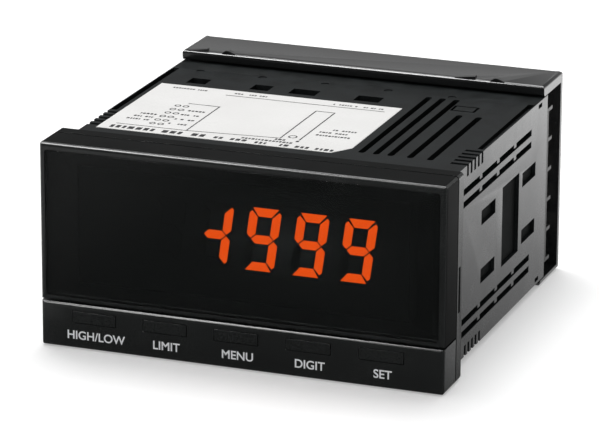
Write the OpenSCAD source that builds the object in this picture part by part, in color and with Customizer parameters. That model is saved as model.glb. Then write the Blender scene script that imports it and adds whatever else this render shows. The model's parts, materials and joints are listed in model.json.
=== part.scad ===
// Digital panel meter with a 96 x 48 mm front, for a 92 x 45 mm panel cut-out.
// X is the width, Y runs back from the panel's front face and Z is up.
// The origin is the centre of the cut-out, in the plane of the panel's front face.

/* [Bezel] */
// Width of the front bezel
bezel_w = 96; // [95:1:110]
// Height of the front bezel
bezel_h = 48; // [47.6:0.2:56]
// Depth of the bezel in front of the gasket
bezel_depth = 12; // [11.5:0.5:16]
// Depth from the front face back to the parting groove
frame_depth = 8.2; // [7.6:0.1:8.4]
// Radius of the front edges
edge_r = 1.2; // [0.6:0.1:1.5]
// Radius of the bezel's corners seen from the front
corner_r = 1; // [0.6:0.1:2]
// Width of the parting groove round the bezel
parting_w = 0.5; // [0.3:0.1:0.8]
// Depth of the parting groove
parting_d = 0.4; // [0.2:0.1:0.8]
// Thickness of the web that carries the window
web_t = 2; // [1.2:0.1:2.4]
// Depth of the blind latch slot in each side of the bezel
latch_d = 1.2; // [0.8:0.1:1.5]
// Height of the latch slot
latch_h = 10.6; // [6:0.2:16]
// Width of the latch slot
latch_w = 1.3; // [0.8:0.1:1.8]
// Height of the latch slot's middle from the centre line
latch_z = -2.5; // [-6:0.5:6]
// Distance of the latch slot from the bezel's rear face
latch_back = 1.3; // [1:0.1:1.6]

/* [Display window] */
// Rim between the window and the sides of the bezel
window_side_rim = 1.4; // [1.2:0.1:4]
// Rim between the window and the top of the bezel
window_top_rim = 1.7; // [1.2:0.1:4]
// Rim between the window and the groove above the keys
window_low_rim = 1; // [0.8:0.1:3]
// Thickness of the window
window_t = 1.6; // [1:0.1:2]
// Corner radius of the window
window_r = 0.8; // [0.5:0.1:3]
// Gap round the window in its recess
window_fit = 0.1; // [0.05:0.05:0.2]

/* [Display] */
// Distance of the liquid crystal panel's sides from the window's
lcd_inset_x = 7.6; // [6.8:0.2:12]
// Distance of the liquid crystal panel's top and bottom from the window's
lcd_inset_z = 3.6; // [3.2:0.1:6]
// Thickness of the liquid crystal panel
lcd_t = 2.2; // [1.6:0.1:2.6]
// Gap round the liquid crystal panel
lcd_fit = 0.3; // [0.1:0.1:0.4]
// Gap between the window and the liquid crystal panel
lcd_gap = 0.3; // [0.2:0.05:0.4]
// Wall of the shroud round the liquid crystal panel
shroud_t = 1.2; // [0.8:0.1:1.6]
// Gap between the shroud and the window
shroud_gap = 0.2; // [0.1:0.05:0.3]
// Thickness of the backlight
backlight_t = 2.8; // [2.4:0.1:3.2]
// Height of a digit
digit_h = 14.2; // [10:0.1:16]
// Width of a digit
digit_w = 7; // [5:0.1:8]
// Distance from one digit to the next
digit_pitch = 11.2; // [9:0.1:12]
// Middle of the row of digits along the width
digits_x = 4.2; // [0:0.1:6]
// Middle of the row of digits above the middle of the window
digits_up = 1.3; // [0:0.1:2.6]
// Lean of the digits in degrees
digit_lean = 8; // [0:1:12]
// Width of a segment
segment_w = 1.7; // [1:0.1:2]
// Gap between two segments
segment_gap = 0.3; // [0.2:0.05:0.5]
// Thickness of a segment
segment_t = 0.15; // [0.1:0.01:0.18]

/* [Keys] */
// Height of the key row's middle above the bottom of the bezel
key_row_up = 7.6; // [7.4:0.1:7.8]
// Width of a key
key_w = 10.3; // [8:0.1:12]
// Height of a key
key_h = 2.6; // [2.2:0.1:2.8]
// Distance of the first and last key's middle from the sides of the bezel
key_margin = 13.8; // [13:0.1:16]
// How far the key row stands off to the right
key_row_x = -0.7; // [-1:0.1:1]
// How far a key moves when it is pressed
key_travel = 0.4; // [0.2:0.05:0.6]
// How far a key stands out of the fascia
key_proud = 0.1; // [0.05:0.05:0.2]
// Gap round a key in the fascia
key_fit = 0.15; // [0.1:0.05:0.2]
// How far a key's flange reaches past the key
key_flange_reach = 0.8; // [0.6:0.1:0.9]
// Thickness of a key's flange
key_flange_t = 0.8; // [0.5:0.1:0.9]
// Diameter of a key's stem
key_stem_d = 2.2; // [1.6:0.1:2.4]
// Distance from a key's top edge to the fascia's top edge
fascia_brow = 1.7; // [1.4:0.1:1.8]
// Wall of the key fascia
fascia_wall = 1.6; // [1.4:0.1:1.8]
// Gap between the fascia and the window frame
fascia_gap = 0.5; // [0.3:0.1:0.8]
// Gap between the fascia and the bezel inside it
fascia_fit = 0.1; // [0.05:0.05:0.2]
// Chamfer on both sides of the groove above the keys
groove_chamfer = 0.4; // [0.2:0.1:0.6]
// Width and height of a tact switch
switch_w = 4.2; // [3.6:0.1:4.4]
// Depth of a tact switch's body
switch_body_t = 1.8; // [1.4:0.1:2]
// Height of a tact switch's plunger
plunger_h = 0.8; // [0.6:0.1:1]
// Diameter of a tact switch's plunger
plunger_d = 2; // [1.6:0.1:2.4]
// Gap left between the stem and the plunger at full travel
press_gap = 0.05; // [0.02:0.01:0.1]

/* [Rear case] */
// How far the sides of the case stand in from the sides of the bezel
case_inset_x = 2.5; // [2.2:0.1:4]
// How far the top and the bottom of the case stand in from those of the bezel
case_inset_z = 1.6; // [1.5:0.1:2]
// Length of the case behind the panel's front face
case_len = 69.5; // [66:0.5:80]
// Wall of the case
case_wall = 1.6; // [1.4:0.1:1.8]
// Length of the case inside the bezel
case_spigot = 3.2; // [2.6:0.1:3.3]
// Gap between the case and the bezel
spigot_fit = 0.1; // [0.05:0.05:0.2]
// Thickness of the panel gasket
gasket_t = 1.5; // [1:0.1:2]
// Corner radius of the panel gasket
gasket_r = 0.6; // [0.3:0.1:0.7]
// Width of the gasket's rim at the sides
gasket_rim_x = 1.7; // [1:0.1:2]
// Width of the gasket's rim above and below
gasket_rim_z = 0.7; // [0.6:0.1:1.2]

/* [Side of the case] */
// Start of the slots behind the panel
slot_y = 6; // [4:0.5:8]
// Length of a side slot
slot_len = 51; // [40:0.5:52]
// Tabs that reach into a side slot from above
slot_tabs = 3; // [1:1:4]
// Length of a tab along the case
slot_tab_len = 1.8; // [0.8:0.1:2.4]
// Height of a tab as a share of the slot's height
slot_tab_share = 0.6; // [0.3:0.05:0.8]
// Height of a slot
slot_h = 1.5; // [1:0.1:1.8]
// Distance of each slot of a pair from the board between them
slot_step = 1.45; // [1.2:0.05:1.6]
// Distance of the cover's catch notch from the rear end of the case
catch_notch_back = 4.5; // [3.5:0.1:6]
// Length of the catch notch along the case
catch_notch_len = 2.7; // [2:0.1:4]
// Height of the catch notch
catch_notch_h = 1; // [0.6:0.1:1.2]
// Distance of the catch notch from the top of the case
catch_notch_down = 0.6; // [0.5:0.1:2]
// Depth of the recesses in the sides
recess_d = 0.9; // [0.4:0.1:1]
// Width of the four small recesses
small_recess_w = 10.3; // [6:0.1:11]
// Height of the four small recesses
small_recess_h = 3.4; // [2:0.1:4.5]
// Distance of the small recesses from the centre line
small_recess_z = 6.9; // [5:0.1:8]
// Width of the tall recess
tall_recess_w = 12.7; // [8:0.1:13]
// Height of the tall recess
tall_recess_h = 19; // [12:0.5:20]
// Middle of the tall recess behind the panel
tall_recess_y = 41.6; // [38:0.5:44]
// Distance from the tall recess to the small recess in front of it
recess_step_front = 16.8; // [14:0.1:18]
// Distance from the tall recess to the small recess behind it
recess_step_rear = 14; // [13:0.1:16]

/* [Corner rails] */
// Teeth on each corner for the mounting bracket
teeth = 5; // [3:1:5]
// Distance from one tooth to the next
tooth_pitch = 2.6; // [2.2:0.1:2.8]
// Gap between two teeth
tooth_gap = 1.3; // [0.8:0.1:1.6]
// Start of the teeth behind the panel
teeth_y = 8.4; // [6:0.1:9]
// Depth of the gaps between the teeth
tooth_d = 0.8; // [0.4:0.1:0.9]
// Reach of the teeth over the top of the case
tooth_reach_x = 4; // [2:0.1:5]
// Reach of the teeth down the side of the case
tooth_reach_z = 2.6; // [1.5:0.1:3]
// Lip at the outside of the rail groove
rail_lip = 0.3; // [0.2:0.1:0.8]
// Width of the rail groove
rail_w = 1.5; // [0.8:0.1:1.6]
// Depth of the rail groove
rail_d = 1; // [0.6:0.1:1.1]
// Distance of the rail groove's end from the rear end of the case
rail_back = 9.5; // [7:0.5:20]

/* [Top of the case] */
// Width of a vent
vent_w = 1.5; // [1:0.1:2]
// Start of the vents behind the panel
vent_y = 10; // [8:0.5:14]
// Length of a long vent
long_vent_len = 47; // [30:0.5:50]
// Length of a short vent
short_vent_len = 35; // [20:0.5:40]
// Distance of the outer long vent's middle from the side of the case
long_vent_inset = 18.4; // [18:0.1:19]
// Distance from one long vent to the next
long_vent_pitch = 3.4; // [2.8:0.1:3.6]
// Distance of the outer short vent's middle from the side of the case
short_vent_inset = 9.1; // [8:0.1:9.5]
// Distance from one short vent to the next
short_vent_pitch = 4.7; // [3:0.1:5]
// Distance of the middle of the catch windows from the rear end of the case
catch_back = 18.5; // [16.5:0.1:20]
// Depth of a catch window along the case
catch_d = 4.4; // [3:0.1:4.6]
// Width of the line round the closed catch window
catch_line = 0.6; // [0.4:0.1:0.8]
// Depth of the ejector marks
mark_d = 0.2; // [0.1:0.05:0.3]
// Diameter of the ejector marks
mark_w = 2; // [1:0.1:3]
// Distance from one ejector mark to the next
mark_pitch = 15.8; // [12:0.1:17]
// Middle of the row of ejector marks along the width
mark_x = -6.4; // [-10:0.1:-3]
// Distance of the ejector marks from the rear end of the case
mark_back = 10; // [8.5:0.1:11]
// Distance of the rating label from the left side of the case
label_left = 3; // [2.7:0.1:5]
// Distance of the rating label from the right side of the case
label_right = 28; // [27.5:0.5:38]
// Start of the rating label behind the panel
label_y = 6.5; // [4:0.1:8]
// Length of the rating label
label_len = 39.5; // [30:0.1:41]
// Thickness of the rating label
label_t = 0.1; // [0.08:0.01:0.2]
// Cut on the label's front right corner, across the width
label_cut_x = 3.4; // [1:0.1:5]
// Cut on the label's front right corner, along the case
label_cut_y = 5; // [1:0.1:8]

/* [Boards] */
// Thickness of the circuit boards
board_t = 1.2; // [1:0.1:1.6]
// Distance of the two long boards from the top and the bottom of the case
board_inset = 7.2; // [7:0.1:7.8]
// Depth of the board grooves in the case wall
groove_d = 0.6; // [0.4:0.1:0.7]
// Gap round a board in its groove
board_fit = 0.15; // [0.1:0.05:0.2]
// Gap between boards that meet
board_gap = 0.3; // [0.2:0.05:0.5]
// Width of the transformer's core
core_w = 22; // [18:0.5:24]
// Length of the transformer's core
core_len = 20; // [16:0.5:22]
// Height of the transformer
core_h = 16; // [12:0.5:17]
// How far the transformer's winding stands past the core at each end
winding_end = 2; // [1:0.5:3]
// Gap between the winding and the core
winding_fit = 0.25; // [0.15:0.05:0.4]
// Diameter of a filter capacitor
capacitor_d = 10; // [6:0.5:10.5]
// Height of a filter capacitor
capacitor_h = 14; // [8:0.5:20]
// Width of an output relay
relay_w = 10; // [7:0.5:10.5]
// Length of an output relay
relay_len = 20; // [16:0.5:22]
// Height of an output relay
relay_h = 15; // [10:0.5:18]
// Width of the controller chip
chip_w = 12; // [10:0.5:14]
// Thickness of a chip
chip_t = 1.6; // [1:0.1:2]
// Width of a board header
header_w = 16; // [12:0.5:18]
// Height of a board header
header_h = 2.5; // [2:0.1:3]
// Length of a board header on its board
header_len = 4; // [3:0.5:5]

/* [Terminals] */
// Terminals in each column
terminals = 5; // [3:1:5]
// Distance from one terminal to the next
terminal_pitch = 7.4; // [7:0.1:7.6]
// Distance of each column of screws from the side of the case
terminal_inset = 6.1; // [5.9:0.1:7.5]
// Thickness of the terminal block's plate
block_t = 3; // [2.4:0.1:4]
// Wall of the terminal block round the room behind its plate
block_wall = 1.5; // [1.2:0.1:2]
// Distance from the terminal board to the terminal block's plate
block_room = 6.5; // [6:0.1:8]
// Wall of the boss round each screw
boss_wall = 1.3; // [1:0.1:1.6]
// How far each boss reaches past the plate
boss_reach = 1.9; // [1.5:0.1:2.5]
// Gap between the terminal block and the case
block_fit = 0.2; // [0.1:0.05:0.3]
// Thickness of a barrier between two terminals
barrier_t = 0.9; // [0.7:0.1:1]
// Height of the barriers
barrier_h = 4; // [3.8:0.1:5]
// Length of a barrier across the column
barrier_len = 12; // [11.5:0.1:12.5]
// Height of the sill at the outer end of the terminals
sill_h = 1.2; // [0.8:0.1:2]
// Thickness of a contact plate and of a clamp
strip_t = 0.8; // [0.6:0.1:1]
// Length of a contact plate
contact_len = 9; // [8.5:0.1:9.4]
// Width of a contact plate and of a clamp
contact_w = 6; // [5.6:0.1:6]
// Width of the blade from a contact to the board
blade_w = 2.4; // [1.6:0.1:3]
// Gap round a blade in the terminal block
blade_fit = 0.15; // [0.1:0.05:0.2]
// Diameter of a terminal screw
screw_d = 3; // [2.5:0.1:3]
// Diameter of a screw's head
screw_head_d = 5.6; // [4.8:0.1:5.8]
// Height of a screw's head
screw_head_h = 1.9; // [1.4:0.1:2]
// Length of a screw below its head
screw_len = 7; // [5:0.1:7.5]
// Length of a screw's cross recess
cross_len = 3.2; // [2.4:0.1:3.6]
// Width of the cross recess
cross_w = 0.8; // [0.6:0.1:1]
// Depth of the cross recess
cross_d = 1.1; // [0.8:0.1:1.3]
// Radial gap round a screw in its hole
screw_fit = 0.1; // [0.05:0.01:0.15]

/* [Terminal cover] */
// Wall of the terminal cover
cover_wall = 1.3; // [1:0.1:1.3]
// Height of the cover's top above the top of the case
cover_rise = 2.8; // [2.2:0.1:3.6]
// Length of the cover along the case
cover_len = 15; // [14:0.5:20]
// Overlap of the cover over the case
cover_overlap = 3; // [2.8:0.1:5]
// Gap between the cover and the case
cover_fit = 0.25; // [0.15:0.05:0.3]
// Depth of the bead on the cover's upper front edge
bead_d = 2.6; // [2:0.1:3]
// Radius of the bead's edges
bead_r = 0.9; // [0.5:0.1:1]
// Width of the rib under each end of the cover's top
end_rib_w = 1.3; // [1:0.1:2]
// Radius of the edges at the ends of the cover
cover_end_r = 0.8; // [0.4:0.1:1.2]
// Radius of the cover's rear edges
cover_r = 1.2; // [0.5:0.1:1.25]
// Distance of the thumb ridges from the cover's front edge
thumb_set = 0.25; // [0.2:0.05:0.5]
// Height of the thumb ridges
thumb_h = 0.65; // [0.3:0.05:0.9]
// Length of a thumb ridge along the case
thumb_d = 1.4; // [1:0.1:2]
// Width of the wedge of a thumb ridge
thumb_wedge_w = 5; // [3:0.1:6]
// Distance from the wedge to the round ridge beside it
thumb_gap = 3.8; // [3:0.1:5]
// Width of the round ridge
thumb_ridge_w = 3.4; // [2.5:0.1:4]
// Distance of each pair of thumb ridges from the middle of the case
thumb_x = 33.8; // [25:0.1:34]
// How far both pairs stand off to the left
thumb_shift = 5.4; // [0:0.1:5.6]

/* [Hidden] */
$fn = 48;

eps = 0.5; // how far a cut runs past the face it opens
far = 2; // how far a cut round the bezel runs past it
black = [0.11, 0.12, 0.12];
board_green = [0.08, 0.3, 0.17];

// Planes along Y, from the front to the back
front_y = -gasket_t - bezel_depth;
parting_y = front_y + frame_depth;
window_back_y = front_y + window_t;
lcd_y = window_back_y + lcd_gap;
backlight_y = lcd_y + lcd_t;
board_seat_y = backlight_y + backlight_t;
case_front_y = -gasket_t - case_spigot;
board_back_y = board_seat_y + board_t;
boards_y = max(board_back_y + board_gap, case_front_y);
block_y = case_len - block_t;
terminal_board_y = block_y - block_room;
cover_y = case_len - cover_overlap;
cover_back_y = cover_y + cover_len;

// Heights and widths that several pieces share
case_w = bezel_w - 2 * case_inset_x;
case_h = bezel_h - 2 * case_inset_z;
inner_w = case_w - 2 * case_wall;
inner_h = case_h - 2 * case_wall;
key_row_z = key_row_up - bezel_h / 2;
key_pitch = bezel_w / 4 - key_margin / 2;
fascia_top = key_row_z + key_h / 2 + fascia_brow;
frame_low = fascia_top + fascia_gap;
core_low = -bezel_h / 2 + fascia_wall + fascia_fit;
core_half_w = bezel_w / 2 - fascia_wall - fascia_fit;
window_low = frame_low + window_low_rim;
window_top = bezel_h / 2 - window_top_rim;
window_z = (window_low + window_top) / 2;
lcd_w = bezel_w - 2 * (window_side_rim + lcd_inset_x);
lcd_h = window_top - window_low - 2 * lcd_inset_z;
board_z = case_h / 2 - board_inset;
flange_h = key_h + 2 * key_flange_reach;
flange_w = key_w + 2 * key_flange_reach;
slot_gap = 0.25; // round a key's flange in the bezel
switch_front_y = board_seat_y - switch_body_t - plunger_h;
stem_end_y = switch_front_y - key_travel - press_gap;
flange_gap = 0.1; // between a key's flange and the fascia
key_flange_y = front_y + fascia_wall + flange_gap;
long_board_w = inner_w + 2 * (groove_d - board_fit);
long_board_len = terminal_board_y - board_gap - boards_y;
seat_y = case_len + strip_t; // top of the contact plates
cover_top_z = case_h / 2 + cover_rise;
cover_low_z = -bezel_h / 2; // the cover stands level with the bezel
bead_h = cover_top_z - case_h / 2 - cover_fit;
low_bead_r = (-cover_low_z - case_h / 2 - cover_fit) / 2;

// A bar along Y with a w x h section centred on x, z
module bar(w, h, y0, y1, x = 0, z = 0) {
    translate([x - w / 2, y0, z - h / 2]) cube([w, y1 - y0, h]);
}

// Sweeps a section drawn in X-Z along Y
module along_y(y0, y1) {
    translate([0, y1, 0]) rotate([90, 0, 0]) linear_extrude(y1 - y0) children();
}

// Sweeps a section drawn in Y-Z along X, centred
module along_x(w) {
    translate([-w / 2, 0, 0]) rotate([90, 0, 90]) linear_extrude(w) children();
}

// A rectangle with round corners, from its low corner to its high corner
module round_rect(x0, y0, x1, y1, r) {
    translate([x0 + r, y0]) square([x1 - x0 - 2 * r, y1 - y0]);
    translate([x0, y0 + r]) square([x1 - x0, y1 - y0 - 2 * r]);
    for (x = [x0 + r, x1 - r], y = [y0 + r, y1 - r]) translate([x, y]) circle(r);
}

// The children, and the children turned over to the other side
module both_sides() {
    children();
    mirror([1, 0, 0]) children();
}

module top_and_bottom() {
    children();
    mirror([0, 0, 1]) children();
}

// ---- Front ----

// A block of the front with round front edges at the sides and round corners
module front_block(z0, z1, depth) {
    half = bezel_w / 2;
    intersection() {
        along_y(front_y, front_y + depth)
            round_rect(-half, -bezel_h / 2, half, bezel_h / 2, corner_r);
        translate([0, 0, z0]) linear_extrude(z1 - z0)
            round_rect(-half, front_y, half, front_y + depth + 2 * edge_r, edge_r);
        along_x(bezel_w) round_rect(front_y, -bezel_h / 2, front_y + depth + 2 * edge_r,
            bezel_h / 2, edge_r);
    }
}

// A wedge that chamfers a front edge lying at height z, cutting up or down from it
module front_chamfer(z, side) {
    c = groove_chamfer;
    along_x(bezel_w + far) polygon([[front_y - far, z - side], [front_y - far, z + side * (c + far)],
        [front_y + c, z], [front_y + c, z - side]]);
}

module lcd_opening(y0, y1) {
    bar(lcd_w + 2 * lcd_fit, lcd_h + 2 * lcd_fit, y0, y1, 0, window_z);
}

module window_outline(fit) {
    round_rect(-bezel_w / 2 + window_side_rim + fit, window_low + fit,
        bezel_w / 2 - window_side_rim - fit, window_top - fit, window_r);
}

// x of each of the five keys
function key_x(i) = key_row_x + (i - 2) * key_pitch;

module front_bezel() color(black) difference() {
    union() {
        difference() {
            union() {
                difference() {
                    front_block(frame_low, bezel_h / 2, frame_depth);
                    front_chamfer(frame_low, 1);
                }
                bar(2 * core_half_w, frame_low + 1 - core_low, window_back_y + fascia_fit,
                    parting_y, 0, (frame_low + 1 + core_low) / 2);
                along_y(parting_y, -gasket_t) round_rect(-bezel_w / 2, -bezel_h / 2,
                    bezel_w / 2, bezel_h / 2, corner_r);
            }
            bar(inner_w, inner_h, window_back_y + web_t, -gasket_t + eps);
            bar(case_w + 2 * spigot_fit, case_h + 2 * spigot_fit, case_front_y - spigot_fit,
                -gasket_t + eps);
        }
        // Shroud that holds the display
        bar(lcd_w + 2 * (lcd_fit + shroud_t), lcd_h + 2 * (lcd_fit + shroud_t),
            window_back_y + shroud_gap, board_seat_y, 0, window_z);
    }
    along_y(front_y - eps, window_back_y) window_outline(0);
    lcd_opening(front_y, board_seat_y + eps);
    for (i = [0:4])
        bar(flange_w + 2 * slot_gap, flange_h + 2 * slot_gap, front_y,
            window_back_y + web_t + eps, key_x(i), key_row_z);
    difference() {
        bar(bezel_w + far, bezel_h + far, parting_y, parting_y + parting_w);
        bar(bezel_w - 2 * parting_d, bezel_h - 2 * parting_d, parting_y - eps,
            parting_y + parting_w + eps);
    }
    both_sides() bar(2 * latch_d, latch_h, -gasket_t - latch_back - latch_w,
        -gasket_t - latch_back, bezel_w / 2, latch_z);
}

module display_window() color([0.05, 0.05, 0.06])
    along_y(front_y, window_back_y) window_outline(window_fit);

module key_fascia() color(black) difference() {
    front_block(-bezel_h / 2, fascia_top, frame_depth);
    front_chamfer(fascia_top, -1);
    bar(bezel_w - 2 * fascia_wall, bezel_h, front_y + fascia_wall, parting_y + eps, 0,
        fascia_wall);
    for (i = [0:4])
        bar(key_w + 2 * key_fit, key_h + 2 * key_fit, front_y - eps, front_y + fascia_wall + eps,
            key_x(i), key_row_z);
}

// One key: the cap, the flange that holds it in, and the stem over its switch
module key(i) color([0.14, 0.15, 0.15]) {
    bar(key_w, key_h, front_y - key_proud, key_flange_y, key_x(i), key_row_z);
    bar(flange_w, flange_h, key_flange_y, key_flange_y + key_flange_t, key_x(i), key_row_z);
    translate([key_x(i), stem_end_y, key_row_z]) rotate([90, 0, 0])
        cylinder(h = stem_end_y - key_flange_y, d = key_stem_d);
}

module tact_switches() color([0.2, 0.2, 0.2]) for (i = [0:4]) {
    bar(switch_w, switch_w, board_seat_y - switch_body_t, board_seat_y, key_x(i), key_row_z);
    translate([key_x(i), board_seat_y - eps, key_row_z]) rotate([90, 0, 0])
        cylinder(h = board_seat_y - eps - switch_front_y, d = plunger_d);
}

module panel_gasket() color([0.07, 0.07, 0.07]) difference() {
    along_y(-gasket_t, 0) round_rect(-case_w / 2 - gasket_rim_x, -case_h / 2 - gasket_rim_z,
        case_w / 2 + gasket_rim_x, case_h / 2 + gasket_rim_z, gasket_r);
    bar(case_w + 2 * spigot_fit, case_h + 2 * spigot_fit, -gasket_t - eps, eps);
}

// ---- Display ----

module lcd_panel() color([0.04, 0.04, 0.05])
    bar(lcd_w, lcd_h, lcd_y, backlight_y, 0, window_z);

module backlight() color([0.9, 0.9, 0.88])
    bar(lcd_w - shroud_t, lcd_h - shroud_t, backlight_y, board_seat_y, 0, window_z);

// Digits from left to right, each with the segments that are lit
nine = "abcdfg";
shown = ["", "bcg", nine, nine, nine];

// Leans a point of a digit to the right as it rises
function lean(p) = [p.x + p.y * tan(digit_lean), p.y];

// Outline of one segment of a digit whose middle is 0, 0
function segment(name) =
    let (w = digit_w / 2, h = digit_h / 2, t = segment_w, g = segment_gap / 2, m = t / 2)
    name == "a" ? [[-w + g, h], [w - g, h], [w - t - g, h - t], [-w + t + g, h - t]] :
    name == "d" ? [[-w + t + g, t - h], [w - t - g, t - h], [w - g, -h], [-w + g, -h]] :
    name == "b" ? [[w, h - g], [w, m + g], [w - m, g], [w - t, m + g], [w - t, h - t - g]] :
    name == "c" ? [[w - t, -m - g], [w - m, -g], [w, -m - g], [w, g - h], [w - t, t + g - h]] :
    name == "f" ? [[t - w, h - t - g], [t - w, m + g], [m - w, g], [-w, m + g], [-w, h - g]] :
    name == "e" ? [[t - w, t + g - h], [-w, g - h], [-w, -m - g], [m - w, -g], [t - w, -m - g]] :
    [[m + g - w, 0], [t + g - w, m], [w - t - g, m], [w - m - g, 0], [w - t - g, -m],
        [t + g - w, -m]];

module segments(lit) {
    for (i = [0:4], name = "abcdefg")
        if ((len(search(name, shown[i])) > 0) == lit)
            translate([digits_x + (i - 2) * digit_pitch, 0, window_z + digits_up])
                along_y(lcd_y - segment_t, lcd_y) polygon([for (p = segment(name)) lean(p)]);
}

module lit_segments() color([1, 0.35, 0.1]) segments(true);

module unlit_segments() color([0.15, 0.16, 0.17]) segments(false);

module display_board() color(board_green)
    bar(inner_w - 2 * block_fit, inner_h - 2 * block_fit, board_seat_y, board_back_y);

// ---- Rear case ----

// The two long slots beside a board at height z, with tabs that reach into them from above
module side_slots(z) {
    tab_h = slot_tab_share * slot_h;
    for (row = [z - slot_step, z + slot_step]) difference() {
        bar(2 * (case_wall + eps), slot_h, slot_y, slot_y + slot_len, case_w / 2, row);
        for (i = [1:slot_tabs]) {
            y = slot_y + i * slot_len / (slot_tabs + 1);
            bar(2 * case_wall, slot_h, y - slot_tab_len / 2, y + slot_tab_len / 2, case_w / 2,
                row + slot_h - tab_h);
        }
    }
}

module side_recess(w, h, y, z = 0) {
    bar(2 * recess_d, h, y - w / 2, y + w / 2, case_w / 2, z);
}

// The rail groove and the gaps between the teeth, on the top right corner
module corner_rail() {
    teeth_end = teeth_y + teeth * tooth_pitch;
    bar(rail_w, 2 * rail_d, teeth_end, case_len - rail_back,
        case_w / 2 - rail_lip - rail_w / 2, case_h / 2);
    for (i = [0:teeth - 1]) {
        y = teeth_y + i * tooth_pitch;
        bar(2 * tooth_reach_x, 2 * tooth_d, y, y + tooth_gap, case_w / 2, case_h / 2);
        bar(2 * tooth_d, 2 * tooth_reach_z, y, y + tooth_gap, case_w / 2, case_h / 2);
    }
}

// A slot with round ends through the top wall
module vent(x, len) {
    translate([x, vent_y, inner_h / 2 - eps]) linear_extrude(case_wall + 2 * eps) {
        translate([-vent_w / 2, 0]) square([vent_w, len]);
        for (y = [0, len]) translate([0, y]) circle(d = vent_w);
    }
}

// Middle and width of each catch window in the top wall, and of the one left closed
catch_windows = [[-35.1, 4.8], [-19.2, 4.6], [-8.5, 6.6], [7.5, 6.2]];
closed_catch = [31.1, 6];

// A block through the top face over a catch window, smaller by inset on every side
module catch_block(window, depth, inset = 0) {
    y = case_len - catch_back;
    bar(window[1] - 2 * inset, 2 * depth, y - catch_d / 2 + inset, y + catch_d / 2 - inset,
        window[0], case_h / 2);
}

module top_openings() {
    for (i = [0:2])
        vent(case_w / 2 - long_vent_inset - i * long_vent_pitch, long_vent_len);
    for (i = [0:1])
        vent(case_w / 2 - short_vent_inset - i * short_vent_pitch, short_vent_len);
    for (window = catch_windows) catch_block(window, case_wall + eps);
    difference() {
        catch_block(closed_catch, catch_line);
        catch_block(closed_catch, case_wall, catch_line);
    }
    for (i = [-2:2])
        translate([mark_x + i * mark_pitch, case_len - mark_back, case_h / 2 - mark_d])
            cylinder(h = mark_d + eps, d = mark_w);
}

module rear_case() color([0.16, 0.17, 0.18]) difference() {
    bar(case_w, case_h, case_front_y, case_len);
    bar(inner_w, inner_h, case_front_y - eps, case_len + eps);
    top_and_bottom() {
        bar(inner_w + 2 * groove_d, board_t + 2 * board_fit, case_front_y - eps,
            terminal_board_y - board_gap + board_fit, 0, board_z);
        top_openings();
        both_sides() {
            corner_rail();
            bar(2 * recess_d, catch_notch_h, case_len - catch_notch_back - catch_notch_len,
                case_len - catch_notch_back, case_w / 2,
                case_h / 2 - catch_notch_down - catch_notch_h / 2);
            side_recess(small_recess_w, small_recess_h, tall_recess_y - recess_step_front,
                small_recess_z);
            side_recess(small_recess_w, small_recess_h, tall_recess_y + recess_step_rear,
                small_recess_z);
        }
    }
    both_sides() {
        side_slots(board_z);
        side_slots(-board_z);
        side_recess(tall_recess_w, tall_recess_h, tall_recess_y);
    }
}

module rating_label() color([0.92, 0.92, 0.9]) {
    label_w = case_w - label_left - label_right;
    translate([label_left - case_w / 2, label_y, case_h / 2]) linear_extrude(label_t)
        polygon([[0, 0], [label_w - label_cut_x, 0], [label_w, label_cut_y], [label_w, label_len],
            [0, label_len]]);
}

// ---- Boards and what they carry ----

module long_board(z) color(board_green)
    bar(long_board_w, board_t, boards_y, boards_y + long_board_len, 0, z);

module main_board() long_board(-board_z);

module power_board() long_board(board_z);

module terminal_board() color(board_green)
    bar(inner_w - 2 * block_fit, inner_h - 2 * block_fit, terminal_board_y,
        terminal_board_y + board_t);

under_power = board_z - board_t / 2;
over_main = -board_z + board_t / 2;

// A place on a long board, as shares of its width from the middle and of its length
function on_board(share) = [share.x * inner_w, boards_y + share.y * long_board_len];
transformer_at = on_board([-0.27, 0.6]);

// Two E cores round a wound bobbin, hanging under the power board
module power_transformer() {
    leg = core_w / 5;
    translate([transformer_at.x, transformer_at.y, under_power - core_h]) {
        color([0.22, 0.21, 0.2]) translate([0, 0, winding_end])
            linear_extrude(core_h - 2 * winding_end) difference() {
                square([core_w, core_len], center = true);
                square([core_w - 2 * leg, core_len - 2 * leg], center = true);
            }
        color([0.75, 0.6, 0.2]) cylinder(h = core_h, d = core_len - 2 * (leg + winding_fit));
    }
}

module filter_capacitors() color([0.1, 0.12, 0.2]) {
    for (at = [on_board([0.02, 0.29]), on_board([0.17, 0.29]), on_board([0.02, 0.7])])
        translate([at.x, at.y, under_power - capacitor_h])
            cylinder(h = capacitor_h, d = capacitor_d);
}

module output_relays() color([0.15, 0.15, 0.16]) {
    for (at = [on_board([0.25, 0.75]), on_board([0.4, 0.75])])
        translate([at.x - relay_w / 2, at.y - relay_len / 2, over_main])
            cube([relay_w, relay_len, relay_h]);
}

module signal_chips() color([0.08, 0.08, 0.08]) {
    for (chip = [[-0.3, 0.38, 1], [-0.09, 0.38, 0.6], [0.07, 0.48, 0.4], [-0.3, 0.72, 0.75]]) {
        at = on_board(chip);
        w = chip_w * chip[2];
        translate([at.x - w / 2, at.y - w / 2, over_main]) cube([w, w, chip_t]);
    }
}

// Headers that join the long boards to the display board and the terminal board
module board_headers() color([0.1, 0.1, 0.1]) {
    back = boards_y + long_board_len;
    for (x = [-0.23, 0.23] * inner_w, z = [over_main + header_h / 2, under_power - header_h / 2]) {
        bar(header_w, header_h, board_back_y, boards_y + header_len, x, z);
        bar(header_w, header_h, back - header_len, back + board_gap, x, z);
    }
}

// ---- Terminals ----

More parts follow.
